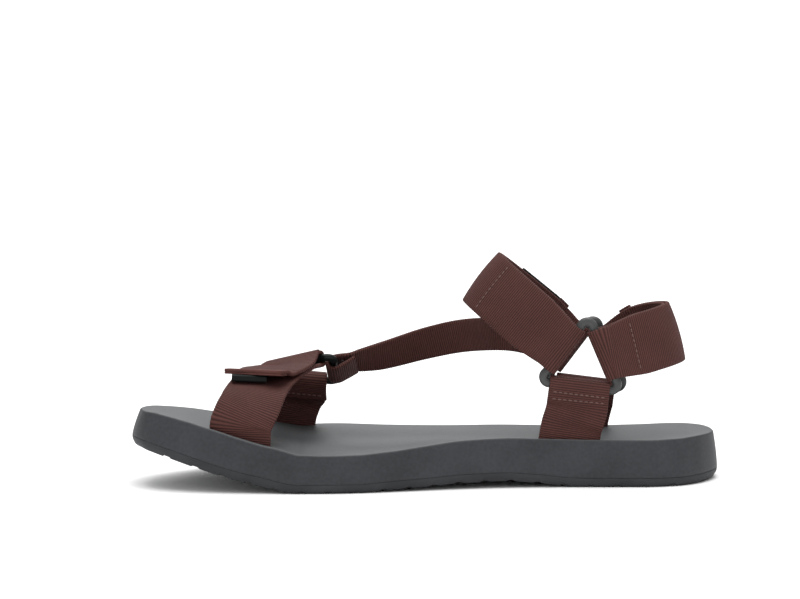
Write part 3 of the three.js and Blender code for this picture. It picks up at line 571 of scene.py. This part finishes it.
def strap_course(node):
    """The strap's middle line, width and directions at even steps, worked out once for each strap."""
    if node in COURSES:
        return COURSES[node]
    pairs = sections_of(node)
    middle = pairs.mean(1)
    knots = np.concatenate([[0], np.cumsum(np.linalg.norm(np.diff(middle, axis=0), axis=1))])
    step = bpy.context.scene.sandal_straps.rib_pitch / STEPS_PER_RIB
    run = np.arange(int(knots[-1] / step) + 1) * step
    centre = smooth_through(middle, knots, run)
    edge = smooth_through(pairs[:, 1] - pairs[:, 0], knots, run)
    along = unit(np.gradient(centre, axis=0))
    width = np.linalg.norm(edge, axis=1)
    across = unit(edge - along * (edge * along).sum(1, keepdims=True))
    normal = np.cross(along, across)
    COURSES[node] = {
        "run": run, "centre": centre, "along": along, "across": across, "normal": normal, "width": width
    }
    return COURSES[node]


def webbing_profile(half_width, half_thickness):
    """One turn round the section: flat faces with elliptic edges, as distances across and out."""
    angles = np.linspace(np.pi / 2, -np.pi / 2, EDGE_POINTS + 2)[1:-1]
    flat = (half_width - EDGE_REACH)[:, None]
    across = np.concatenate([flat * np.linspace(-1, 1, FACE_POINTS), flat + EDGE_REACH * np.cos(angles)], 1)
    out = np.concatenate([np.ones(FACE_POINTS), np.sin(angles)]) * half_thickness * np.ones_like(flat)
    return np.concatenate([across, -across], 1), np.concatenate([out, -out], 1)


def crown_of(node, course):
    """How far the middle of the width stands out from the leg: nought near a ring, then a smooth step up."""
    if node not in ("instep_strap", "heel_strap"):
        return np.zeros(len(course["run"]))
    rings = np.array([spot(shares) for shares in ANKLE_RINGS.values()])
    from_leg = course["centre"] - rings.mean(0)
    distance = np.linalg.norm(course["centre"][:, None] - rings, axis=-1).min(1)
    rise = np.clip((distance - CROWN_FROM) / CROWN_RUN, 0, 1)
    facing = np.sign((course["normal"] * from_leg).sum(1))
    return facing * rise * rise * (3 - 2 * rise) * bpy.context.scene.sandal_straps.crown


def make_webbing(name, node, material, stations=slice(None), lift=0.0, thickness=None, spread=0.0):
    """A strap: the profile carried along the course, thickened by a cosine rib and bowed by its crown.

    lift moves a second layer off the strap's middle line, along its normal, and spread widens it.
    """
    sizes = bpy.context.scene.sandal_straps
    whole = strap_course(node)
    course = {key: values[stations] for key, values in whole.items()}
    run = course["run"]
    width = course["width"] + spread
    across, out = webbing_profile(width / 2, (thickness or sizes.thickness) / 2)
    rib = np.cos(2 * np.pi * run / sizes.rib_pitch)[:, None] * sizes.rib_height
    side = np.clip(across / (width[:, None] / 2), -1, 1)
    crown = crown_of(node, whole)[stations][:, None] * (1 - side**2)
    edge = np.clip((np.abs(side) - EDGE_FROM) / (1 - EDGE_FROM), 0, 1)
    across = across + np.sign(across) * edge * rib * EDGE_RIB
    out = out + np.sign(out) * rib + crown + lift
    grid = (
        course["centre"][:, None]
        + course["across"][:, None] * across[..., None]
        + course["normal"][:, None] * out[..., None]
    )
    rows, columns = across.shape
    faces = loop_faces(rows, columns)
    first, last = np.arange(columns)[::-1], np.arange(columns) + (rows - 1) * columns
    corners = np.concatenate([np.ravel(faces), first, last])
    faces += [first.tolist(), last.tolist()]
    uv = np.stack([run[corners // columns], across.ravel()[corners]], -1)
    piece = mesh_object(name, grid.reshape(-1, 3), faces, material, uv)
    outward_faces(piece.data)
    return piece


def make_hem(material):
    """A second layer under the flap: the toe strap's last stretch, moved down by half of both layers."""
    sizes = bpy.context.scene.sandal_straps
    course = strap_course("toe_strap")
    stations = course["run"] > course["run"][-1] - sizes.hem
    below = -np.sign(course["normal"][-1][2]) * (sizes.thickness + sizes.hem_thickness) / 2
    hem = make_webbing("flap_hem", "toe_strap", material, stations, below, sizes.hem_thickness)
    dress(hem, "webbing")


def make_tab(node, material):
    """The folded tab at a strap's free end: its last stretch, a little thicker and wider."""
    sizes = bpy.context.scene.sandal_straps
    run = strap_course(node)["run"]
    stations = run > run[-1] - sizes.tab
    thickness = sizes.thickness + TAB_PROUD
    dress(make_webbing(node + "_tab", node, material, stations, 0.0, thickness, sizes.tab_spread), "webbing")


def make_hook_tape():
    """A thin layer of hook tape before the tab, on the instep strap's face that looks to the leg."""
    sizes = bpy.context.scene.sandal_straps
    course = strap_course("instep_strap")
    from_end = course["run"][-1] - course["run"]
    stations = (from_end > sizes.tab) & (from_end < sizes.tab + sizes.tape_length)
    to_leg = spot(ANKLE_RINGS["ankle_ring_lateral"]) * (1, 0, 1) - course["centre"][stations][0]
    facing = np.sign(course["normal"][stations][0] @ to_leg)
    lift = facing * (sizes.thickness + sizes.tape_thickness) / 2
    shape = (stations, lift, sizes.tape_thickness, sizes.tab_spread * TAPE_SPREAD)
    dress(make_webbing("instep_hook_tape", "instep_strap", tape_material(), *shape), "webbing")


class SANDAL_OT_straps(bpy.types.Operator):
    """Makes every webbing strap along its solid, then the flap's hem, the tabs and the hook tape."""

    bl_idname = "sandal.straps"
    bl_label = "Straps"

    def execute(self, context):
        material = webbing_material()
        for node in STRAPS:
            dress(make_webbing(node + "_webbing", node, material), "webbing", node)
        make_hem(material)
        for node in ("instep_strap", "heel_strap"):
            make_tab(node, material)
        make_hook_tape()
        return {"FINISHED"}


# Rings and pull bar

# Divisions of a ring, and how much and over what distance its bar thickens at a corner
CORNER_STEPS, SIDE_STEPS, RING_AROUND = 17, 12, 24
CORNER_SWELL, SWELL_RUN = 0.45 * MM, 4 * MM


def spot(shares):
    """Places from shares of the length, the ball width and the ring height."""
    scene = bpy.context.scene
    sole = scene.sandal_sole
    return np.array(shares) * (sole.length, sole.ball_width, scene.sandal_straps.ring_height)


def make_ring(node, corners, material):
    """A round bar swept along a triangle with arcs for corners, a little thicker in the corners."""
    sizes = bpy.context.scene.sandal_straps
    normal = unit(np.cross(corners[1] - corners[0], corners[2] - corners[0]))
    places, outs, swell = [], [], []
    for k, corner in enumerate(corners):
        following = corners[(k + 1) % 3]
        before, after = unit(corners[k - 1] - corner), unit(following - corner)
        middle = unit(before + after)
        half_angle = math.acos(np.clip(np.dot(before, after), -1, 1)) / 2
        centre = corner + middle * sizes.ring_corner / math.sin(half_angle)
        sweep = np.linspace(-1, 1, CORNER_STEPS) * (np.pi / 2 - half_angle)
        aside = np.cross(normal, middle)
        out = -middle * np.cos(sweep)[:, None] - aside * np.sin(sweep)[:, None]
        places.append(centre + out * sizes.ring_corner)
        outs.append(out)
        swell.append(np.ones(CORNER_STEPS))
        leaving = places[-1][-1]
        straight = np.dot(following - leaving, after) - np.dot(leaving - corner, after)
        steps = np.linspace(0, 1, SIDE_STEPS + 2)[1:-1]
        places.append(leaving + after * (steps * straight)[:, None])
        outs.append(np.repeat(out[-1:], SIDE_STEPS, 0))
        swell.append(np.clip(1 - np.minimum(steps, 1 - steps) * straight / SWELL_RUN, 0, 1))
    places, outs, swell = np.concatenate(places), np.concatenate(outs), np.concatenate(swell)
    swell = swell * swell * (3 - 2 * swell)
    around = np.linspace(0, 2 * np.pi, RING_AROUND + 1)[:-1]
    wide = (sizes.bar_radius + CORNER_SWELL * swell)[:, None] * np.cos(around)
    tall = sizes.bar_radius * np.sin(around)
    grid = places[:, None] + outs[:, None] * wide[..., None] + normal * tall[None, :, None]
    points = grid.reshape(-1, 3)
    faces = np.array(loop_faces(len(places) + 1, RING_AROUND)) % len(points)
    piece = mesh_object(node + "_moulding", points, faces.tolist(), material)
    outward_faces(piece.data)
    return piece


class SANDAL_OT_rings(bpy.types.Operator):
    """Makes the two ankle rings and the toe ring."""

    bl_idname = "sandal.rings"
    bl_label = "Rings"

    def execute(self, context):
        sizes = context.scene.sandal_straps
        colours = context.scene.sandal_colours
        grey = plastic_material("ring_grey", colours.ring_grey, roughness=0.38, gloss=0.35)
        black = plastic_material("ring_black", colours.ring_black, roughness=0.3, gloss=0.2)
        reach = sizes.ring_side / math.sqrt(3)
        angles = np.radians([90, 210, 330]) + sizes.ring_tilt
        for node, shares in ANKLE_RINGS.items():
            corners = spot(shares) + reach * np.stack([np.cos(angles), 0 * angles, np.sin(angles)], -1)
            dress(make_ring(node, corners, grey), "grey_plastic", node)
        dress(make_ring("toe_ring", spot(TOE_RING_CORNERS), black), "black_plastic", "toe_ring")
        return {"FINISHED"}


class SANDAL_OT_pull_bar(bpy.types.Operator):
    """Makes the hollow pull bar with softened edges."""

    bl_idname = "sandal.pull_bar"
    bl_label = "Pull bar"

    def execute(self, context):
        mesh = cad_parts["pull_bar"].data.copy()
        shape = bmesh.new()
        shape.from_mesh(mesh)
        bmesh.ops.remove_doubles(shape, verts=shape.verts, dist=WELD)
        bmesh.ops.dissolve_limit(shape, angle_limit=math.radians(2), verts=shape.verts, edges=shape.edges)
        shape.to_mesh(mesh)
        shape.free()
        mesh.materials.clear()
        tint = context.scene.sandal_colours.ring_black
        mesh.materials.append(plastic_material("pull_black", tint, roughness=0.45, gloss=0.12))
        piece = bpy.data.objects.new("pull_bar_moulding", mesh)
        context.scene.collection.objects.link(piece)
        soften = piece.modifiers.new("edges", "BEVEL")
        soften.width = 0.25 * MM
        soften.segments = 3
        soften.limit_method = "ANGLE"
        soften.angle_limit = math.radians(50)
        apply_modifiers(piece)
        dress(piece, "black_plastic", "pull_bar")
        return {"FINISHED"}


# Stitching

# Divisions of a stitch, its distance from the strap's edge, its flatness and its height in ribs
BEAD_RINGS, BEAD_SIDES = 5, 8
STITCH_MARGIN = 1.4 * MM
THREAD_FLAT, THREAD_HEIGHT = 1.25, 0.6


def stitch_template():
    """A thread bead one unit long and one unit across: an ellipse turned about its length."""
    lengthwise = np.linspace(-np.pi / 2, np.pi / 2, BEAD_RINGS + 2)[1:-1, None]
    around = np.linspace(0, 2 * np.pi, BEAD_SIDES + 1)[:-1]
    sides = np.cos(lengthwise)
    middle = np.repeat(np.sin(lengthwise), BEAD_SIDES, 1)
    body = np.stack([middle, sides * np.cos(around), sides * np.sin(around)], -1).reshape(-1, 3)
    points = np.concatenate([body, [[-1, 0, 0], [1, 0, 0]]])
    faces = loop_faces(BEAD_RINGS, BEAD_SIDES)
    tail, head = len(body), len(body) + 1
    last = len(body) - BEAD_SIDES
    for j in range(BEAD_SIDES):
        following = (j + 1) % BEAD_SIDES
        faces += [[tail, following, j], [head, last + j, last + following]]
    return points, faces


def nearest_station(course, place, facing):
    """The station whose face, on the side that the direction names, lies nearest the place."""
    sizes = bpy.context.scene.sandal_straps
    sign = np.sign(course["normal"] @ facing)
    face = course["centre"] + course["normal"] * (sign * sizes.thickness / 2)[:, None]
    return int(np.argmin(np.linalg.norm(face - place, axis=1)))


def stitch_row(node, place, facing):
    """Stitches across the strap where its face lies nearest the place: places, directions and normals."""
    sizes = bpy.context.scene.sandal_straps
    course = strap_course(node)
    station = nearest_station(course, place, facing)
    half = course["width"][station] / 2
    count = max(2, int(2 * (half - STITCH_MARGIN) / sizes.stitch_pitch))
    offsets = (np.arange(count) - (count - 1) / 2) * sizes.stitch_pitch
    bulge = crown_of(node, course)[station] * (1 - (offsets / half) ** 2)
    normal = course["normal"][station]
    outward = normal * np.sign(normal @ facing)
    base = course["centre"][station] + outward * (sizes.thickness / 2 + sizes.rib_height * THREAD_HEIGHT)
    places = base + course["across"][station] * offsets[:, None] + normal * bulge[:, None]
    across = np.repeat(course["across"][station][None], count, 0)
    return places, across, np.repeat(outward[None], count, 0)


def make_stitches(name, rows, material):
    """All stitches of the rows as one mesh of thread beads, worked out as one array."""
    sizes = bpy.context.scene.sandal_straps
    places, along, normal = (np.concatenate(parts) for parts in zip(*rows))
    axes = np.stack([along, np.cross(normal, along), normal], 1)
    template, faces = stitch_template()
    bead = template * (sizes.stitch_length / 2, sizes.thread * THREAD_FLAT, sizes.thread)
    points = places[:, None] + bead @ axes
    starts = range(0, points.shape[0] * points.shape[1], len(bead))
    all_faces = [[corner + start for corner in face] for start in starts for face in faces]
    piece = mesh_object(name, points.reshape(-1, 3), all_faces, material)
    outward_faces(piece.data)
    dress(piece, "webbing")


class SANDAL_OT_stitching(bpy.types.Operator):
    """Sews the straps: rows across them beside each ring and where layers join."""

    bl_idname = "sandal.stitching"
    bl_label = "Stitching"

    def execute(self, context):
        inner, outer = np.array([0.0, -1.0, 0.0]), np.array([0.0, 1.0, 0.0])
        inside = np.array([0.0, -0.8, -0.6])
        medial, lateral = (spot(shares) for shares in ANKLE_RINGS.values())
        toes = np.zeros(3)
        # The strap, where its seam is measured from, how far off it lies in millimetres, and the side sewn
        seams = [
            ("ankle_anchor_medial", medial, (-2.2, -3.0, -13.2), inner),
            ("ankle_anchor_medial", medial, (-2.2, -3.0, -16.0), inner),
            ("ankle_anchor_lateral", lateral, (-2.2, 3.0, -13.2), outer),
            ("ankle_anchor_lateral", lateral, (-2.2, 3.0, -16.0), outer),
            ("heel_strap", medial, (23.0, 4.0, 5.2), inner),
            ("instep_strap", medial, (-44.0, 6.0, 34.5), inner),
            ("toe_anchor_lateral", toes, (-57.0, 27.5, 33.7), inside),
            ("toe_anchor_lateral", toes, (-57.0, 27.5, 33.7), -inside),
            ("link_strap", toes, (-36.0, 20.0, 45.5), inside),
            ("link_strap", toes, (-36.0, 20.0, 45.5), -inside),
        ]
        rows = [stitch_row(node, start + np.array(way) * MM, facing) for node, start, way, facing in seams]
        make_stitches("strap_stitching", rows, thread_material())
        return {"FINISHED"}


# Materials

YARN_PITCH = 0.55 * MM


def new_material(name):
    """A material, a way to add nodes to it and a way to coat it: to fill or link its shader's sockets."""
    material = bpy.data.materials.new(name)
    material.use_nodes = True
    tree = material.node_tree

    def connect(node, sockets):
        for key, value in sockets.items():
            if isinstance(value, bpy.types.NodeSocket):
                tree.links.new(value, node.inputs[key])
            else:
                node.inputs[key].default_value = value
        return node

    def add(kind, sockets, **settings):
        node = tree.nodes.new(kind)
        for key, value in settings.items():
            setattr(node, key, value)
        return connect(node, sockets)

    def coat(tint, roughness, gloss=None, **sockets):
        given = {"Base Color": tint, "Roughness": roughness}
        if gloss is not None:
            given["Specular IOR Level"] = gloss
        given.update((key.replace("_", " "), value) for key, value in sockets.items())
        connect(tree.nodes["Principled BSDF"], given)

    return material, add, coat


def own_place(add):
    """The place on the piece, in its own coordinates."""
    return add("ShaderNodeTexCoord", {}).outputs["Object"]


def noise(add, place, scale, detail=2.0, roughness=0.5):
    """A cloudy noise over the place, from 0 to 1."""
    sockets = {"Vector": place, "Scale": scale, "Detail": detail, "Roughness": roughness}
    return add("ShaderNodeTexNoise", sockets).outputs["Fac"]


def math_node(add, operation, *values):
    """One step of arithmetic; MULTIPLY_ADD is the first value times the second, plus the third."""
    return add("ShaderNodeMath", dict(enumerate(values)), operation=operation).outputs[0]


def relief(add, height, strength, depth):
    """The normal of a surface whose height is given, with its depth in metres."""
    sockets = {"Height": height, "Strength": strength, "Distance": depth}
    return add("ShaderNodeBump", sockets).outputs["Normal"]


def shade(tint, share):
    """The tint made darker or lighter by a share."""
    return tuple(share * value for value in tint)


def ramp(add, source, low, high, dark, light):
    """Blends two colours as the source goes from low to high."""
    node = add("ShaderNodeValToRGB", {"Fac": source})
    for stop, position, tint in zip(node.color_ramp.elements, (low, high), (dark, light)):
        stop.position = position
        stop.color = (*tint, 1)
    return node.outputs["Color"]


def webbing_material():
    """Woven webbing: a cosine rib along the run, a finer yarn across, and cloudy wear; its colour darkens
    between the ribs and yarns as painted shade.
    """
    colours = bpy.context.scene.sandal_colours
    sizes = bpy.context.scene.sandal_straps
    material, add, coat = new_material("ribbed_webbing")
    run = add("ShaderNodeSeparateXYZ", {"Vector": add("ShaderNodeUVMap", {}, uv_map="run").outputs["UV"]})
    turns = math_node(add, "MULTIPLY", run.outputs["X"], 2 * math.pi / sizes.rib_pitch)
    rib = math_node(add, "COSINE", turns)
    yarn = math_node(add, "MULTIPLY", run.outputs["Y"], 2 * math.pi / YARN_PITCH)
    yarn = math_node(add, "SINE", math_node(add, "MULTIPLY_ADD", turns, 0.5, yarn))
    place = own_place(add)
    cloud = noise(add, place, 90.0, 3.0)
    fuzz = noise(add, place, 2600.0)
    # Painted shade: the colour falls to its dark end between the ribs and yarns, with random tone from the
    # noises on top
    lift = math_node(add, "MULTIPLY_ADD", rib, 0.4, 0.5)
    for source, weight in ((yarn, 0.16), (cloud, 0.35), (fuzz, 0.5)):
        lift = math_node(add, "MULTIPLY_ADD", source, weight, lift)
    lift = math_node(add, "SUBTRACT", lift, 0.4)
    height = math_node(add, "MULTIPLY_ADD", yarn, 0.3, rib)
    height = math_node(add, "MULTIPLY_ADD", fuzz, 0.6, height)
    coat(
        ramp(add, lift, 0.0, 1.0, colours.webbing_deep, colours.webbing),
        roughness=0.68,
        gloss=0.16,
        Normal=relief(add, height, 0.6, 0.07 * MM),
        Sheen_Weight=0.05,
        Sheen_Roughness=0.45,
        Sheen_Tint=(*colours.sheen, 1),
    )
    return material


def tape_material():
    """Dark hook tape: fine nylon hooks as a sharp noise."""
    tint = bpy.context.scene.sandal_colours.tape
    material, add, coat = new_material("hook_tape")
    hooks = noise(add, own_place(add), 1900.0)
    blend = ramp(add, hooks, 0.35, 0.65, shade(tint, 0.5), tint)
    coat(blend, roughness=0.7, gloss=0.2, Normal=relief(add, hooks, 0.9, 0.2 * MM))
    return material


def thread_material():
    """Sewing thread with the shade of its twist as a fine noise."""
    tint = bpy.context.scene.sandal_colours.thread
    material, add, coat = new_material("sewing_thread")
    twist = noise(add, own_place(add), 3000.0)
    coat(ramp(add, twist, 0.3, 0.7, shade(tint, 0.6), tint), roughness=0.55)
    return material


def foam_material(on_top):
    """Moulded foam with a fine skin grain and a soft cloudy shade; the top's copy is paler as painted top
    light, the side's copy darker as painted shade.
    """
    colours = bpy.context.scene.sandal_colours
    # The side's copy takes the darker foam colour as painted shade; the top's copy, below, the lighter
    # footbed colour as painted top light
    name, tint, contrast = ("midsole_foam", colours.foam, 0.25)
    if on_top:
        name, tint, contrast = ("footbed_foam", colours.footbed, 0.13)
    material, add, coat = new_material(name)
    place = own_place(add)
    grain = noise(add, place, 1500.0, 3.0, 0.6)
    cloud = noise(add, place, 45.0, 4.0)
    speck = noise(add, place, 700.0, 1.0)
    mottle = math_node(add, "MULTIPLY_ADD", speck, 0.5, cloud)
    matt = add("ShaderNodeMapRange", {"Value": cloud, "To Min": 0.5, "To Max": 0.62}).outputs["Result"]
    blend = ramp(add, mottle, 0.5, 1.0, shade(tint, 1 - contrast), shade(tint, 1 + contrast))
    coat(blend, roughness=matt, gloss=0.28, Normal=relief(add, grain, 0.45, 0.12 * MM))
    return material


def rubber_material():
    """Dull rubber with a fine grain and faint cloudy shades."""
    tint = bpy.context.scene.sandal_colours.rubber
    material, add, coat = new_material("outsole_rubber")
    place = own_place(add)
    grain = noise(add, place, 1100.0, 3.0)
    cloud = noise(add, place, 60.0, 3.0)
    blend = ramp(add, cloud, 0.35, 0.65, shade(tint, 0.8), shade(tint, 1.2))
    coat(blend, roughness=0.62, gloss=0.28, Normal=relief(add, grain, 0.5, 0.12 * MM))
    return material


def plastic_material(name, tint, roughness, gloss):
    """Moulded plastic with a faint orange peel."""
    material, add, coat = new_material(name)
    place = own_place(add)
    peel = noise(add, place, 900.0)
    cloud = noise(add, place, 120.0)
    blend = ramp(add, cloud, 0.35, 0.65, shade(tint, 0.85), shade(tint, 1.15))
    coat(blend, roughness, gloss, Normal=relief(add, peel, 0.3, 0.05 * MM))
    return material


# Stage

FLOOR_HALF, LIGHT_SIDE = 6.0, 2.2
BACKDROP_SHARE = 0.7


def soft_light(name, place, target, power):
    """A square soft light aimed at a point."""
    lamp = bpy.data.lights.new(name, "AREA")
    lamp.energy = power
    lamp.shape = "SQUARE"
    lamp.size = LIGHT_SIDE
    holder = bpy.data.objects.new(name, lamp)
    holder.location = place
    holder.rotation_euler = (Vector(target) - Vector(place)).to_track_quat("-Z", "Y").to_euler()
    bpy.context.scene.collection.objects.link(holder)


class SANDAL_OT_stage(bpy.types.Operator):
    """Sets the floor, the soft light and the camera."""

    bl_idname = "sandal.stage"
    bl_label = "Stage"

    def execute(self, context):
        scene = context.scene
        stage = scene.sandal_stage
        corners = FLOOR_HALF * np.array([(-1, -1, 0), (1, -1, 0), (1, 1, 0), (-1, 1, 0)])
        material, _, coat = new_material("studio_floor")
        coat((*scene.sandal_colours.floor, 1), roughness=0.9, gloss=0.1)
        mesh_object("floor", corners, [[0, 1, 2, 3]], material)
        world = bpy.data.worlds.new("studio")
        scene.world = world
        world.use_nodes = True
        background = world.node_tree.nodes["Background"]
        background.inputs["Color"].default_value = (1, 1, 1, 1)
        background.inputs["Strength"].default_value = stage.sky
        soft_light("overhead", (0, -0.1, 2.4), (0, 0, 0), stage.overhead)
        soft_light("backdrop", (0, 3.4, 2.4), (0, 3.6, 0), stage.overhead * BACKDROP_SHARE)
        scene.view_settings.view_transform = "Standard"
        lens = bpy.data.cameras.new("camera")
        lens.lens = stage.lens
        lens.sensor_width = 36
        lens.clip_end = 100
        camera = bpy.data.objects.new("camera", lens)
        camera.location = stage.camera
        camera.rotation_euler = (math.pi / 2 - stage.pitch, 0, 0)
        scene.collection.objects.link(camera)
        scene.camera = camera
        return {"FINISHED"}


class SANDAL_PT_panel(bpy.types.Panel):
    """Sizes, colours and the pieces to make."""

    bl_label = "Strap Sandal"
    bl_idname = "SANDAL_PT_panel"
    bl_space_type = "VIEW_3D"
    bl_region_type = "UI"
    bl_category = "Sandal"

    def draw(self, context):
        for name in GROUPS:
            group = getattr(context.scene, name)
            box = self.layout.box()
            for size in group.__annotations__:
                box.prop(group, size)
        for operator in OPERATORS:
            self.layout.operator(operator.bl_idname)


GROUPS = {
    "sandal_sole": SandalSole,
    "sandal_straps": SandalStraps,
    "sandal_colours": SandalColours,
    "sandal_stage": SandalStage,
}
OPERATORS = (
    SANDAL_OT_outsole,
    SANDAL_OT_midsole,
    SANDAL_OT_straps,
    SANDAL_OT_rings,
    SANDAL_OT_pull_bar,
    SANDAL_OT_stitching,
    SANDAL_OT_stage,
)


def register():
    """Adds the classes, and a group of each kind to the scene."""
    for cls in (*GROUPS.values(), *OPERATORS, SANDAL_PT_panel):
        bpy.utils.register_class(cls)
    for name, group in GROUPS.items():
        setattr(bpy.types.Scene, name, bpy.props.PointerProperty(type=group))


def unregister():
    """Takes away what register adds, in the opposite order."""
    for name in GROUPS:
        delattr(bpy.types.Scene, name)
    for cls in (SANDAL_PT_panel, *reversed(OPERATORS), *reversed(GROUPS.values())):
        bpy.utils.unregister_class(cls)


def main():
    """Makes every piece and the stage."""
    register()
    bpy.ops.sandal.outsole()
    bpy.ops.sandal.midsole()
    bpy.ops.sandal.straps()
    bpy.ops.sandal.rings()
    bpy.ops.sandal.pull_bar()
    bpy.ops.sandal.stitching()
    bpy.ops.sandal.stage()


if __name__ == "__main__":
    main()
